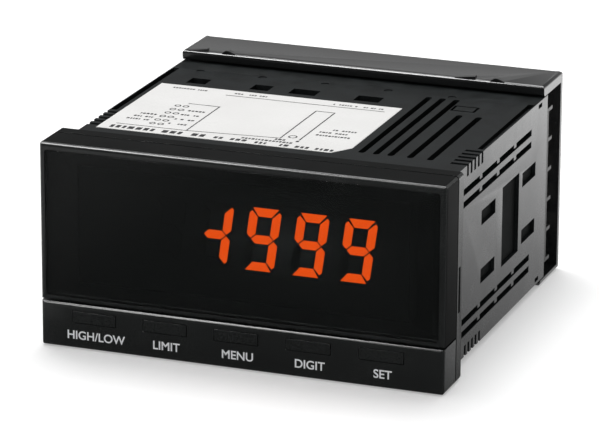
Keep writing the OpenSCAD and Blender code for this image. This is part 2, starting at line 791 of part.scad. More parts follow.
// z of the terminals and of the barriers on each side of them
function terminal_z(i) = (i - (terminals - 1) / 2) * terminal_pitch;
function barrier_z(i) = (i - terminals / 2) * terminal_pitch;
column_h = terminals * terminal_pitch;
terminal_x = case_w / 2 - terminal_inset;
blade_inset = 0.5; // from the inner end of the contact plate to the blade
blade_x = terminal_x - contact_len / 2 + strip_t / 2 + blade_inset;
screw_hole_r = screw_d / 2 + screw_fit;

// A cylinder along Y on terminal i, from its top at y
module at_terminal(i, y, h, r)
    translate([terminal_x, y, terminal_z(i)]) rotate([90, 0, 0]) cylinder(h = h, r = r);

module terminal_block() color(black) difference() {
    union() {
        bar(inner_w - 2 * block_fit, inner_h - 2 * block_fit, block_y, case_len);
        difference() {
            bar(inner_w - 2 * block_fit, inner_h - 2 * block_fit, terminal_board_y + board_t,
                case_len);
            bar(inner_w - 2 * (block_fit + block_wall), inner_h - 2 * (block_fit + block_wall),
                terminal_board_y, block_y);
        }
        both_sides() {
            for (i = [0:terminals])
                bar(barrier_len, barrier_t, case_len, case_len + barrier_h,
                    case_w / 2 - barrier_len / 2, barrier_z(i));
            bar(barrier_t, column_h + barrier_t, case_len, case_len + barrier_h,
                case_w / 2 - barrier_len + barrier_t / 2);
            bar(barrier_t, column_h, case_len, case_len + sill_h, case_w / 2 - barrier_t / 2);
            for (i = [0:terminals - 1])
                at_terminal(i, case_len - eps, block_t + boss_reach, screw_d / 2 + boss_wall);
        }
    }
    both_sides() for (i = [0:terminals - 1]) {
        at_terminal(i, case_len + eps, block_t + boss_reach + 2 * eps, screw_hole_r);
        bar(strip_t + 2 * blade_fit, blade_w + 2 * blade_fit, block_y - eps, case_len + eps,
            blade_x, terminal_z(i));
    }
}

module terminal_contacts() color([0.72, 0.6, 0.3]) both_sides() for (i = [0:terminals - 1])
    difference() {
        union() {
            bar(contact_len, contact_w, case_len, seat_y, terminal_x, terminal_z(i));
            bar(strip_t, blade_w, terminal_board_y + board_t, seat_y, blade_x, terminal_z(i));
        }
        at_terminal(i, seat_y + eps, strip_t + 2 * eps, screw_hole_r);
    }

module terminal_clamps() color([0.75, 0.75, 0.74]) both_sides() for (i = [0:terminals - 1])
    difference() {
        bar(contact_w + 0.4, contact_w, seat_y, seat_y + strip_t, terminal_x, terminal_z(i));
        at_terminal(i, seat_y + strip_t + eps, strip_t + 2 * eps, screw_hole_r);
    }

// Pan head screws with a cross recess
module terminal_screws() color([0.8, 0.8, 0.8]) both_sides() for (i = [0:terminals - 1])
    translate([terminal_x, seat_y + strip_t, terminal_z(i)]) rotate([90, 0, 0])
        difference() {
            union() {
                cylinder(h = screw_len, d = screw_d);
                translate([0, 0, -screw_head_h]) cylinder(h = screw_head_h, d = screw_head_d);
            }
            for (turn = [0, 90]) rotate([0, 0, turn])
                translate([-cross_len / 2, -cross_w / 2, -screw_head_h - eps])
                    cube([cross_len, cross_w, cross_d + eps]);
        }

// ---- Terminal cover ----

// Section of the cover: a channel open to the front, with a bead on each front edge
module cover_section() {
    difference() {
        round_rect(cover_y - eps, cover_low_z, cover_back_y, cover_top_z, cover_r);
        translate([cover_y - far, cover_low_z + cover_wall])
            square([cover_len + far - cover_wall, cover_top_z - cover_low_z - 2 * cover_wall]);
        translate([cover_y - far, cover_low_z - eps])
            square([far + bead_d / 2, cover_top_z - cover_low_z + 2 * eps]);
    }
    round_rect(cover_y, cover_top_z - bead_h, cover_y + bead_d, cover_top_z, bead_r);
    translate([cover_y + low_bead_r, cover_low_z + low_bead_r]) circle(low_bead_r);
    translate([cover_y + low_bead_r, cover_low_z]) square([bead_d / 2, cover_wall]);
}

// A pair of thumb ridges: a wedge that rises to the right, and a round ridge beside it
module thumb_ridges(x) {
    ridge = thumb_gap + thumb_ridge_w / 2;
    translate([x, 0, cover_top_z]) along_y(cover_y + thumb_set, cover_y + thumb_set + thumb_d) {
        polygon([[-thumb_wedge_w, -eps], [-thumb_wedge_w, 0], [0, thumb_h], [0, -eps]]);
        polygon([[ridge - thumb_ridge_w / 2, -eps], [ridge - thumb_ridge_w / 2, 0],
            [ridge - thumb_ridge_w / 4, thumb_h], [ridge, thumb_h],
            [ridge + thumb_ridge_w / 2, 0], [ridge + thumb_ridge_w / 2, -eps]]);
    }
}

module terminal_cover() color(black) {
    intersection() {
        union() {
            along_x(case_w) cover_section();
            both_sides() bar(end_rib_w, bead_h, cover_y + bead_d - eps,
                cover_back_y - cover_wall + eps, (case_w - end_rib_w) / 2,
                cover_top_z - bead_h / 2);
        }
        along_y(cover_y, cover_back_y)
            round_rect(-case_w / 2, cover_low_z, case_w / 2, cover_top_z, cover_end_r);
    }
    for (x = [-thumb_x, thumb_x]) thumb_ridges(x - thumb_shift);
}

front_bezel();
display_window();
lcd_panel();
backlight();
lit_segments();
unlit_segments();
key_fascia();
key(0);  // key_high_low
key(1);  // key_limit
key(2);  // key_menu
key(3);  // key_digit
key(4);  // key_set
tact_switches();
display_board();
panel_gasket();
rear_case();
main_board();
power_board();
terminal_board();
power_transformer();
filter_capacitors();
output_relays();
signal_chips();
board_headers();
terminal_block();
terminal_contacts();
terminal_clamps();
terminal_screws();
terminal_cover();
rating_label();
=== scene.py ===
import json
import math
import random

import bmesh
import bpy
from mathutils import Matrix, Vector

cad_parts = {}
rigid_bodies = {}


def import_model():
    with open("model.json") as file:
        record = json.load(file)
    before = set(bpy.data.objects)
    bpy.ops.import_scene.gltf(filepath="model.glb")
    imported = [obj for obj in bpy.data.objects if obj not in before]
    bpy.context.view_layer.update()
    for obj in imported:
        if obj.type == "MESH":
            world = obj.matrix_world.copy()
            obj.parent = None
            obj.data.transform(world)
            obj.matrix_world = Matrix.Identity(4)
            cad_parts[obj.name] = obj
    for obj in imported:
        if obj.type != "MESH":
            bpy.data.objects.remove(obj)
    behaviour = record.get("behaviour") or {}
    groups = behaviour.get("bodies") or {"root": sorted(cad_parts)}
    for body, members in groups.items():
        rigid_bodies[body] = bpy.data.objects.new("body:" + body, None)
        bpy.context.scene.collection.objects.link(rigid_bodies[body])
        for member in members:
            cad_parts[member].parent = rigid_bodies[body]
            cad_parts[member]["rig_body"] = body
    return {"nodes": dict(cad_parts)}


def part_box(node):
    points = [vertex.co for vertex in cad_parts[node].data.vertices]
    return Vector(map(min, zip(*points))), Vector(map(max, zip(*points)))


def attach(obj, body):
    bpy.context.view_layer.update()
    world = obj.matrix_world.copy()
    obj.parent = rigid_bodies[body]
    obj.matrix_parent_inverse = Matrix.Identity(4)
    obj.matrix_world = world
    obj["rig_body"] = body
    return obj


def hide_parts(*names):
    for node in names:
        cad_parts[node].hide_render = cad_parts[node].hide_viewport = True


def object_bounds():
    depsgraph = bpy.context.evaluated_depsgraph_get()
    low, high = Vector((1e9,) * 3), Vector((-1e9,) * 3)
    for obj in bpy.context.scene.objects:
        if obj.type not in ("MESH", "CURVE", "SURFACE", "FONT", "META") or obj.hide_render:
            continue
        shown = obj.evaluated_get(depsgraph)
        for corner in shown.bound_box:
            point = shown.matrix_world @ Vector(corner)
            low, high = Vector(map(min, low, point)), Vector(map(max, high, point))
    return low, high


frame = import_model()
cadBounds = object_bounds()
nodes = frame["nodes"]
bodyOf = {name: piece["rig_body"] for name, piece in nodes.items()}
mm = 0.001
print("frame loaded:", len(nodes), "nodes")

# places that several pieces share, in metres
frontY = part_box("front_bezel")[0].y
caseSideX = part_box("rear_case")[1].x
labelLow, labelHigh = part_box("rating_label")



cameraView = {  # mm and degrees
    "target": (0, 36.5, 0),
    "azimuth": 19.99,
    "elevation": 17.44,
    "distance": 919,
    "yaw": 20.24,
    "pitch": 17.6,
    "roll": 0.27,
    "lens": 237.42,
    "sensor": 36,
}


# unit vector that points at a turn and a height, both in radians
def pointing(turn, height):
    return Vector((math.sin(turn) * math.cos(height), -math.cos(turn) * math.cos(height), math.sin(height)))


def addCamera(v):
    az, el = math.radians(v["azimuth"]), math.radians(v["elevation"])
    yaw, pitch, roll = (math.radians(v[k]) for k in ("yaw", "pitch", "roll"))
    place = Vector(v["target"]) + v["distance"] * pointing(az, el)
    back = pointing(yaw, pitch)
    right = Vector((math.cos(yaw), math.sin(yaw), 0))
    up = back.cross(right)
    right, up = (math.cos(roll) * right + math.sin(roll) * up,
                 math.cos(roll) * up - math.sin(roll) * right)
    data = bpy.data.cameras.new("camera")
    data.lens = v["lens"]
    data.sensor_fit = "HORIZONTAL"
    data.sensor_width = v["sensor"]
    data.clip_start, data.clip_end = 0.05, 20
    camera = bpy.data.objects.new("camera", data)
    camera.matrix_world = Matrix.Translation(place * mm) @ Matrix((right, up, back)).transposed().to_4x4()
    bpy.context.scene.collection.objects.link(camera)
    bpy.context.scene.camera = camera


addCamera(cameraView)
print("camera placed")



def newGroup(name, inputs, outputs):
    group = bpy.data.node_groups.new(name, "ShaderNodeTree")
    for label, kind, value in inputs:
        socket = group.interface.new_socket(name=label, in_out="INPUT", socket_type=kind)
        socket.default_value = value
    for label, kind in outputs:
        group.interface.new_socket(name=label, in_out="OUTPUT", socket_type=kind)
    start = group.nodes.new("NodeGroupInput")
    end = group.nodes.new("NodeGroupOutput")
    return group, start, end


# mixes two colours, each a plain colour or another node's output
def mixColours(tree, factor, first, second):
    mix = tree.nodes.new("ShaderNodeMix")
    mix.data_type = "RGBA"
    tree.links.new(factor, mix.inputs["Factor"])
    for socket, value in ((mix.inputs["A"], first), (mix.inputs["B"], second)):
        if hasattr(value, "is_output"):
            tree.links.new(value, socket)
        else:
            socket.default_value = (*value, 1)
    return mix.outputs["Result"]


# fine skin of a moulded plastic: soft cloudy tone, even grain, roughness that follows both
def mouldedSkinGroup():
    group, start, end = newGroup(
        "mouldedSkin",
        [("Dark", "NodeSocketColor", (0.01, 0.01, 0.01, 1)), ("Light", "NodeSocketColor", (0.02, 0.02, 0.02, 1)),
         ("Cloud Scale", "NodeSocketFloat", 60), ("Grain Scale", "NodeSocketFloat", 4000),
         ("Smooth", "NodeSocketFloat", 0.3), ("Rough", "NodeSocketFloat", 0.4)],
        [("Colour", "NodeSocketColor"), ("Roughness", "NodeSocketFloat"), ("Height", "NodeSocketFloat")])
    make, link = group.nodes.new, group.links.new
    place = make("ShaderNodeTexCoord")
    cloud = make("ShaderNodeTexNoise")
    cloud.inputs["Detail"].default_value = 3
    link(place.outputs["Object"], cloud.inputs["Vector"])
    link(start.outputs["Cloud Scale"], cloud.inputs["Scale"])
    grain = make("ShaderNodeTexNoise")
    grain.inputs["Detail"].default_value = 2
    link(place.outputs["Object"], grain.inputs["Vector"])
    link(start.outputs["Grain Scale"], grain.inputs["Scale"])
    both = make("ShaderNodeMix")
    both.inputs["Factor"].default_value = 0.5
    link(cloud.outputs["Fac"], both.inputs["A"])
    link(grain.outputs["Fac"], both.inputs["B"])
    spread = make("ShaderNodeMapRange")
    spread.inputs["From Min"].default_value = 0.35
    spread.inputs["From Max"].default_value = 0.65
    link(both.outputs["Result"], spread.inputs["Value"])
    colour = mixColours(group, spread.outputs["Result"], start.outputs["Dark"], start.outputs["Light"])
    link(colour, end.inputs["Colour"])
    rough = make("ShaderNodeMapRange")
    link(spread.outputs["Result"], rough.inputs["Value"])
    link(start.outputs["Smooth"], rough.inputs["To Min"])
    link(start.outputs["Rough"], rough.inputs["To Max"])
    link(rough.outputs["Result"], end.inputs["Roughness"])
    link(grain.outputs["Fac"], end.inputs["Height"])
    return group


mouldedSkin = mouldedSkinGroup()
print("shared effects built")



def newMaterial(name):
    material = bpy.data.materials.new(name)
    material.use_nodes = True
    tree = material.node_tree
    return material, tree, tree.nodes["Principled BSDF"]


def addBump(tree, shader, height, strength, distance):
    bump = tree.nodes.new("ShaderNodeBump")
    bump.inputs["Strength"].default_value = strength
    bump.inputs["Distance"].default_value = distance
    tree.links.new(height, bump.inputs["Height"])
    tree.links.new(bump.outputs["Normal"], shader.inputs["Normal"])


def mouldedPlastic(name, v):
    material, tree, shader = newMaterial(name)
    skin = tree.nodes.new("ShaderNodeGroup")
    skin.node_tree = mouldedSkin
    skin.inputs["Dark"].default_value = (*v["dark"], 1)
    skin.inputs["Light"].default_value = (*v["light"], 1)
    skin.inputs["Cloud Scale"].default_value = v["cloud"]
    skin.inputs["Grain Scale"].default_value = v["grain"]
    skin.inputs["Smooth"].default_value = v["smooth"]
    skin.inputs["Rough"].default_value = v["rough"]
    tree.links.new(skin.outputs["Colour"], shader.inputs["Base Color"])
    tree.links.new(skin.outputs["Roughness"], shader.inputs["Roughness"])
    shader.inputs["Specular IOR Level"].default_value = v.get("specular", 0.5)
    shader.inputs["Metallic"].default_value = v.get("metallic", 0)
    if v.get("bump"):
        addBump(tree, shader, skin.outputs["Height"], v["bump"], v.get("depth", 0.00002))
    return material


plastics = {  # darkest and lightest tone, size of its clouds and grain, range of roughness, gloss and relief
    "bezelPlastic": {"dark": (0.012, 0.013, 0.013), "light": (0.02, 0.022, 0.0215), "cloud": 40, "grain": 6000,
                     "smooth": 0.22, "rough": 0.3, "specular": 0.4, "bump": 0.05},
    # darker, duller copy of the bezel plastic for its top and the sides of its front band: painted shade
    "bezelPaintedShadePlastic": {"dark": (0.004, 0.0045, 0.0045), "light": (0.013, 0.0135, 0.0135), "cloud": 90, "grain": 5000,
                        "smooth": 0.45, "rough": 0.6, "specular": 0.03, "bump": 0.2},
    # lighter, glossier copy of the bezel plastic for the sides of the key strip: painted light
    "fasciaSidePaintedLightPlastic": {"dark": (0.03, 0.032, 0.032), "light": (0.045, 0.048, 0.048), "cloud": 60, "grain": 6000,
                          "smooth": 0.25, "rough": 0.32, "specular": 0.9, "bump": 0.05},
    # darker, duller copy for the case's top and every face that is not an outer side wall: painted shade
    "casePaintedShadePlastic": {"dark": (0.005, 0.006, 0.0062), "light": (0.018, 0.0212, 0.0222), "cloud": 300, "grain": 2500,
                       "smooth": 0.45, "rough": 0.6, "specular": 0.12, "bump": 0.3},
    # lighter, glossier copy for the outer side walls of the case: painted light
    "caseSidePaintedLightPlastic": {"dark": (0.01, 0.011, 0.012), "light": (0.017, 0.0185, 0.02), "cloud": 120, "grain": 5000,
                        "smooth": 0.24, "rough": 0.34, "specular": 0.6, "bump": 0.1},
    # darker, duller copy for the floors of the side recesses and the inner faces of the walls: painted shade
    "caseRecessPaintedShadePlastic": {"dark": (0.006, 0.007, 0.007), "light": (0.009, 0.01, 0.01), "cloud": 300, "grain": 5000,
                          "smooth": 0.6, "rough": 0.7, "specular": 0.03, "bump": 0.2},
    "coverPlastic": {"dark": (0.009, 0.0095, 0.01), "light": (0.014, 0.0145, 0.015), "cloud": 60, "grain": 6000,
                     "smooth": 0.16, "rough": 0.22, "specular": 0.6, "bump": 0.03},
    "keyPlastic": {"dark": (0.012, 0.013, 0.013), "light": (0.02, 0.022, 0.0215), "cloud": 40, "grain": 6000,
                   "smooth": 0.24, "rough": 0.32, "specular": 0.4, "bump": 0.05},
    "blockPlastic": {"dark": (0.012, 0.012, 0.012), "light": (0.02, 0.02, 0.02), "cloud": 200, "grain": 5000,
                     "smooth": 0.4, "rough": 0.5, "specular": 0.4, "bump": 0.1},
    "gasketRubber": {"dark": (0.004, 0.004, 0.004), "light": (0.01, 0.01, 0.01), "cloud": 400, "grain": 7000,
                     "smooth": 0.7, "rough": 0.85, "specular": 0.1, "bump": 0.3},
    "lightGuide": {"dark": (0.7, 0.7, 0.68), "light": (0.82, 0.82, 0.8), "cloud": 80, "grain": 4000,
                   "smooth": 0.3, "rough": 0.4},
    "chipResin": {"dark": (0.01, 0.01, 0.01), "light": (0.02, 0.02, 0.02), "cloud": 400, "grain": 6000,
                  "smooth": 0.5, "rough": 0.6},
    "relayResin": {"dark": (0.015, 0.015, 0.017), "light": (0.024, 0.024, 0.026), "cloud": 200, "grain": 5000,
                   "smooth": 0.35, "rough": 0.5},
    "headerResin": {"dark": (0.008, 0.008, 0.008), "light": (0.015, 0.015, 0.015), "cloud": 400, "grain": 6000,
                    "smooth": 0.5, "rough": 0.6},
    "capacitorSleeve": {"dark": (0.008, 0.01, 0.02), "light": (0.012, 0.015, 0.032), "cloud": 200, "grain": 5000,
                        "smooth": 0.25, "rough": 0.35},
    "solderMask": {"dark": (0.003, 0.018, 0.009), "light": (0.006, 0.032, 0.016), "cloud": 700, "grain": 2500,
                   "smooth": 0.35, "rough": 0.5},
    "contactMetal": {"dark": (0.5, 0.47, 0.4), "light": (0.7, 0.66, 0.58), "cloud": 300, "grain": 5000,
                     "smooth": 0.25, "rough": 0.4, "metallic": 1},
    "clampMetal": {"dark": (0.5, 0.5, 0.5), "light": (0.68, 0.68, 0.67), "cloud": 300, "grain": 5000,
                   "smooth": 0.25, "rough": 0.4, "metallic": 1},
    "screwMetal": {"dark": (0.55, 0.55, 0.55), "light": (0.75, 0.75, 0.74), "cloud": 300, "grain": 5000,
                   "smooth": 0.2, "rough": 0.35, "metallic": 1},
    "paperLabel": {"dark": (0.71, 0.705, 0.695), "light": (0.76, 0.755, 0.745), "cloud": 60, "grain": 3000,
                   "smooth": 0.4, "rough": 0.5, "specular": 0.3},
    "darkSegment": {"dark": (0.001, 0.0011, 0.0011), "light": (0.0016, 0.0017, 0.0017), "cloud": 60, "grain": 3000,
                    "smooth": 0.3, "rough": 0.35, "specular": 0.05},
}
materials = {name: mouldedPlastic(name, v) for name, v in plastics.items()}

windowLook = {"colour": (0.013, 0.0145, 0.014), "alpha": 0.5, "roughness": 0.14, "specular": 0.2}
segmentLook = {"colour": (0.95, 0.1, 0.001), "edge": (0.9, 0.08, 0.001), "strength": 2.9}
crystalLook = {
    "dark": (0.002, 0.0024, 0.0024), "haze": (0.5, 0.58, 0.58),
    "strength": 0.09,  # light that leaks through round the digits
    "spread": (38, 17),  # half width and height of the leak, mm
}


def smokedWindow(v):
    material, tree, shader = newMaterial("smokedWindow")
    place = tree.nodes.new("ShaderNodeTexCoord")
    cloud = tree.nodes.new("ShaderNodeTexNoise")
    cloud.inputs["Scale"].default_value = 30
    tree.links.new(place.outputs["Object"], cloud.inputs["Vector"])
    rough = tree.nodes.new("ShaderNodeMapRange")
    rough.inputs["To Min"].default_value = v["roughness"] * 0.8
    rough.inputs["To Max"].default_value = v["roughness"] * 1.2
    tree.links.new(cloud.outputs["Fac"], rough.inputs["Value"])
    tree.links.new(rough.outputs["Result"], shader.inputs["Roughness"])
    shader.inputs["Base Color"].default_value = (*v["colour"], 1)
    shader.inputs["Specular IOR Level"].default_value = v["specular"]
    shader.inputs["Alpha"].default_value = v["alpha"]
    return material


def litSegment(v):
    material, tree, shader = newMaterial("litSegment")
    place = tree.nodes.new("ShaderNodeTexCoord")
    cloud = tree.nodes.new("ShaderNodeTexNoise")
    cloud.inputs["Scale"].default_value = 250
    tree.links.new(place.outputs["Object"], cloud.inputs["Vector"])
    colour = mixColours(tree, cloud.outputs["Fac"], v["colour"], v["edge"])
    tree.links.new(colour, shader.inputs["Emission Color"])
    tree.links.new(colour, shader.inputs["Base Color"])
    shader.inputs["Emission Strength"].default_value = v["strength"]
    shader.inputs["Roughness"].default_value = 0.5
    return material


# black crystal with a soft haze of light round the digits
def liquidCrystal(v):
    low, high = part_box("lit_segments")
    material, tree, shader = newMaterial("liquidCrystal")
    make, link = tree.nodes.new, tree.links.new
    place = make("ShaderNodeTexCoord")
    centre = make("ShaderNodeMapping")
    centre.vector_type = "TEXTURE"
    centre.inputs["Location"].default_value = (low + high) / 2
    centre.inputs["Scale"].default_value = (v["spread"][0] * mm, 1, v["spread"][1] * mm)
    link(place.outputs["Object"], centre.inputs["Vector"])
    fade = make("ShaderNodeTexGradient")
    fade.gradient_type = "QUADRATIC_SPHERE"
    link(centre.outputs["Vector"], fade.inputs["Vector"])
    cloud = make("ShaderNodeTexNoise")
    cloud.inputs["Scale"].default_value = 90
    cloud.inputs["Detail"].default_value = 3
    link(place.outputs["Object"], cloud.inputs["Vector"])
    haze = make("ShaderNodeMath")
    haze.operation = "MULTIPLY"
    link(fade.outputs["Fac"], haze.inputs[0])
    link(cloud.outputs["Fac"], haze.inputs[1])
    colour = mixColours(tree, haze.outputs["Value"], (0, 0, 0), v["haze"])
    link(colour, shader.inputs["Emission Color"])
    shader.inputs["Emission Strength"].default_value = v["strength"]
    shader.inputs["Base Color"].default_value = (*v["dark"], 1)
    shader.inputs["Roughness"].default_value = 0.35
    shader.inputs["Specular IOR Level"].default_value = 0.1
    return material


materials["liquidCrystal"] = liquidCrystal(crystalLook)
materials["smokedWindow"] = smokedWindow(windowLook)
materials["litSegment"] = litSegment(segmentLook)

transformerLook = {
    "iron": (0.05, 0.048, 0.045), "tape": (0.55, 0.38, 0.05),
    "share": 0.27,  # radius of the taped winding as a share of the width
}


# laminated core with a taped winding in the middle
def transformerMaterial(v):
    low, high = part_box("power_transformer")
    middle = (low + high) / 2
    material, tree, shader = newMaterial("transformerIron")
    make, link = tree.nodes.new, tree.links.new
    place = make("ShaderNodeTexCoord")
    centre = make("ShaderNodeVectorMath")
    centre.operation = "SUBTRACT"
    centre.inputs[1].default_value = middle
    link(place.outputs["Object"], centre.inputs[0])
    flat = make("ShaderNodeVectorMath")
    flat.operation = "MULTIPLY"
    flat.inputs[1].default_value = (1, 1, 0)
    link(centre.outputs["Vector"], flat.inputs[0])
    length = make("ShaderNodeVectorMath")
    length.operation = "LENGTH"
    link(flat.outputs["Vector"], length.inputs[0])
    inside = make("ShaderNodeMath")
    inside.operation = "LESS_THAN"
    inside.inputs[1].default_value = (high.x - low.x) * v["share"]
    link(length.outputs["Value"], inside.inputs[0])
    sheets = make("ShaderNodeTexWave")
    sheets.bands_direction = "Z"
    sheets.inputs["Scale"].default_value = 400
    link(place.outputs["Object"], sheets.inputs["Vector"])
    colour = mixColours(tree, inside.outputs["Value"], v["iron"], v["tape"])
    link(colour, shader.inputs["Base Color"])
    shader.inputs["Roughness"].default_value = 0.5
    addBump(tree, shader, sheets.outputs["Fac"], 0.4, 0.0001)
    return material


materials["transformerIron"] = transformerMaterial(transformerLook)
print("materials built:", len(materials))

finishes = {
    "front_bezel": "bezelPlastic", "display_window": "smokedWindow", "lcd_panel": "liquidCrystal",
    "backlight": "lightGuide", "lit_segments": "litSegment", "unlit_segments": "darkSegment",
    "key_fascia": "bezelPlastic", "key_high_low": "keyPlastic", "key_limit": "keyPlastic", "key_menu": "keyPlastic",
    "key_digit": "keyPlastic", "key_set": "keyPlastic", "tact_switches": "chipResin", "display_board": "solderMask",
    # the case as a whole takes the darker, duller copy that stands as painted shade on its top
    "panel_gasket": "gasketRubber", "rear_case": "casePaintedShadePlastic", "main_board": "solderMask",
    "power_board": "solderMask", "terminal_board": "solderMask", "power_transformer": "transformerIron",
    "filter_capacitors": "capacitorSleeve", "output_relays": "relayResin", "signal_chips": "chipResin",
    "board_headers": "headerResin", "terminal_block": "blockPlastic", "terminal_contacts": "contactMetal",
    "terminal_clamps": "clampMetal", "terminal_screws": "screwMetal", "terminal_cover": "coverPlastic",
    "rating_label": "paperLabel",
}
for name, finish in finishes.items():
    mesh = nodes[name].data
    mesh.materials.clear()
    mesh.materials.append(materials[finish])



softEdges = {  # width of the rounded edge in mm
    "front_bezel": 0.2, "key_fascia": 0.25, "rear_case": 0.15, "terminal_cover": 0.2, "terminal_block": 0.12,
    "display_window": 0.2, "key_high_low": 0.03, "key_limit": 0.03, "key_menu": 0.03, "key_digit": 0.03,
    "key_set": 0.03, "panel_gasket": 0.15,
}


weldGap = 0.002  # mm
creaseAngle = math.radians(28)  # an edge that turns more than this is rounded


# copy of a CAD node with its edges rounded, shown in the node's place
def softEdged(name, width):
    mesh = nodes[name].data.copy()
    piece = bpy.data.objects.new(name + "_moulded", mesh)
    bpy.context.scene.collection.objects.link(piece)
    bm = bmesh.new()
    bm.from_mesh(mesh)
    bmesh.ops.remove_doubles(bm, verts=bm.verts, dist=weldGap * mm)
    bmesh.ops.dissolve_limit(bm, angle_limit=math.radians(1), verts=bm.verts, edges=bm.edges)
    bm.to_mesh(mesh)
    bm.free()
    mesh.polygons.foreach_set("use_smooth", [True] * len(mesh.polygons))
    mesh.set_sharp_from_angle(angle=creaseAngle)
    bevel = piece.modifiers.new("softEdge", "BEVEL")
    bevel.width = width * mm
    bevel.segments = 2
    bevel.limit_method = "ANGLE"
    bevel.angle_limit = creaseAngle
    bevel.harden_normals = True
    bevel.material = -1
    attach(piece, bodyOf[name])
    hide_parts(name)
    return piece


moulded = {name: softEdged(name, width) for name, width in softEdges.items()}
print("moulded pieces:", len(moulded))


# gives the faces that a rule picks a second finish
def paintFaces(piece, finish, rule):
    mesh = piece.data
    mesh.materials.append(materials[finish])
    index = len(mesh.materials) - 1
    for face in mesh.polygons:
        if rule(face.normal, face.center):
            face.material_index = index


flat = 0.9  # a face whose normal has more than this along an axis faces that way
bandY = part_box("key_fascia")[1].y - 1 * mm  # the front band of the bezel ends behind this
wallX = caseSideX - 0.05 * mm  # the outer walls of the case lie beyond this
# the outer side walls of the case take the lighter, glossier copy as painted light
paintFaces(moulded["rear_case"], "caseSidePaintedLightPlastic", lambda n, c: abs(n.x) > flat and abs(c.x) > wallX)
# sideways faces inside the outer walls, the recess floors and inner wall faces, take a darker copy as painted shade
paintFaces(moulded["rear_case"], "caseRecessPaintedShadePlastic", lambda n, c: abs(n.x) > flat and abs(c.x) < wallX)
# the bezel's top and the sides of its front band take a darker, duller copy of its plastic, as painted shade
paintFaces(moulded["front_bezel"], "bezelPaintedShadePlastic", lambda n, c: n.z > flat or abs(n.x) > flat and c.y < bandY)
# the sides of the key strip take a lighter, glossier copy, as painted light
paintFaces(moulded["key_fascia"], "fasciaSidePaintedLightPlastic", lambda n, c: abs(n.x) > flat)
print("faces painted")

digitLook = {  # mm
    "width": 7.4, "height": 14.6, "segment": 1.95, "gap": 0.42, "corner": 0.5, "pitch": 11.2, "lean": 8,
    "fromRight": 3.9,  # middle of the last digit from the right end of the lit segments
    "thick": 0.15, "reading": ("", "bcg", "abcdfg", "abcdfg", "abcdfg"),
}


# outline of one segment of a digit whose middle is 0, 0
def segmentOutline(name, v):
    w, h, t, g, c = v["width"] / 2, v["height"] / 2, v["segment"], v["gap"] / 2, v["corner"]
    m = t / 2
    upright = [(w - c, h - g - c), (w, h - g - 2 * c), (w, m + g), (w - m, g), (w - t, m + g), (w - t, h - t - g)]
    level = [(g + c - w, h), (w - g - c, h), (w - t - g, h - t), (t + g - w, h - t)]
    return {
        "a": level,
        "d": [(x, -y) for x, y in level],
        "b": upright,
        "c": [(x, -y) for x, y in upright],
        "f": [(-x, y) for x, y in upright],
        "e": [(-x, -y) for x, y in upright],
        "g": [(m + g - w, 0), (t + g - w, m), (w - t - g, m), (w - m - g, 0), (w - t - g, -m), (t + g - w, -m)],
    }[name]


# the lit or the dark segments of the reading, with wider gaps than the CAD node that they replace
def addSegments(node, lit, finish, v):
    low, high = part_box("lit_segments")
    slope = math.tan(math.radians(v["lean"]))
    bm = bmesh.new()
    for i, on in enumerate(v["reading"]):
        x = high.x / mm - v["fromRight"] + (i - len(v["reading"]) + 1) * v["pitch"]
        for name in "abcdefg":
            if (name in on) != lit:
                continue
            points = [Vector(((x + px + pz * slope) * mm, low.y, (low.z + high.z) / 2 + pz * mm))
                      for px, pz in segmentOutline(name, v)]
            face = bm.faces.new([bm.verts.new(p) for p in points])
            grown = bmesh.ops.extrude_face_region(bm, geom=[face])["geom"]
            bmesh.ops.translate(bm, verts=[g for g in grown if isinstance(g, bmesh.types.BMVert)],
                                vec=(0, v["thick"] * mm, 0))
    bmesh.ops.recalc_face_normals(bm, faces=bm.faces)
    mesh = bpy.data.meshes.new(node + "_shaped")
    bm.to_mesh(mesh)
    bm.free()
    mesh.materials.append(materials[finish])
    piece = bpy.data.objects.new(node + "_shaped", mesh)
    bpy.context.scene.collection.objects.link(piece)
    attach(piece, bodyOf[node])
    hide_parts(node)


addSegments("lit_segments", True, "litSegment", digitLook)
addSegments("unlit_segments", False, "darkSegment", digitLook)
print("digits shaped")

legendLook = {
    "words": {"key_high_low": "HIGH/LOW", "key_limit": "LIMIT", "key_menu": "MENU", "key_digit": "DIGIT",
              "key_set": "SET"},
    # mm; drop and shift are from the middle of the key
    "height": 1.95, "drop": 4.35, "shift": 0.35, "thick": 0.02, "bold": 0.045,
    "capital": 0.7,  # height of a capital as a share of the font's size
}


def inkMaterial(name, colour):
    return mouldedPlastic(name, {"dark": tuple(c * 0.92 for c in colour), "light": colour, "cloud": 300, "grain": 4000,
                                 "smooth": 0.45, "rough": 0.55, "specular": 0.3})


materials["whiteInk"] = inkMaterial("whiteInk", (0.85, 0.86, 0.88))
materials["blackInk"] = inkMaterial("blackInk", (0.03, 0.03, 0.032))


def addLegend(key, word, v):
    low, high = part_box(key)
    curve = bpy.data.curves.new("legend", "FONT")
    curve.body = word
    curve.align_x = "CENTER"
    curve.align_y = "CENTER"
    curve.size = v["height"] / v["capital"] * mm
    curve.extrude = v["thick"] / 2 * mm
    curve.offset = v["bold"] * mm
    holder = bpy.data.objects.new("legendText", curve)
    bpy.context.scene.collection.objects.link(holder)
    bpy.context.view_layer.update()
    mesh = bpy.data.meshes.new_from_object(holder.evaluated_get(bpy.context.evaluated_depsgraph_get()))
    bpy.data.objects.remove(holder)
    bpy.data.curves.remove(curve)
    place = Vector(((low.x + high.x) / 2 + v["shift"] * mm, frontY - v["thick"] / 2 * mm,
                    (low.z + high.z) / 2 - v["drop"] * mm))
    mesh.transform(Matrix.Translation(place) @ Matrix.Rotation(math.radians(90), 4, "X"))
    mesh.materials.clear()
    mesh.materials.append(materials["whiteInk"])
    piece = bpy.data.objects.new("legend_" + key, mesh)
    bpy.context.scene.collection.objects.link(piece)
    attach(piece, "meter")
    return piece


for key, word in legendLook["words"].items():
    addLegend(key, word, legendLook)
print("legends placed")



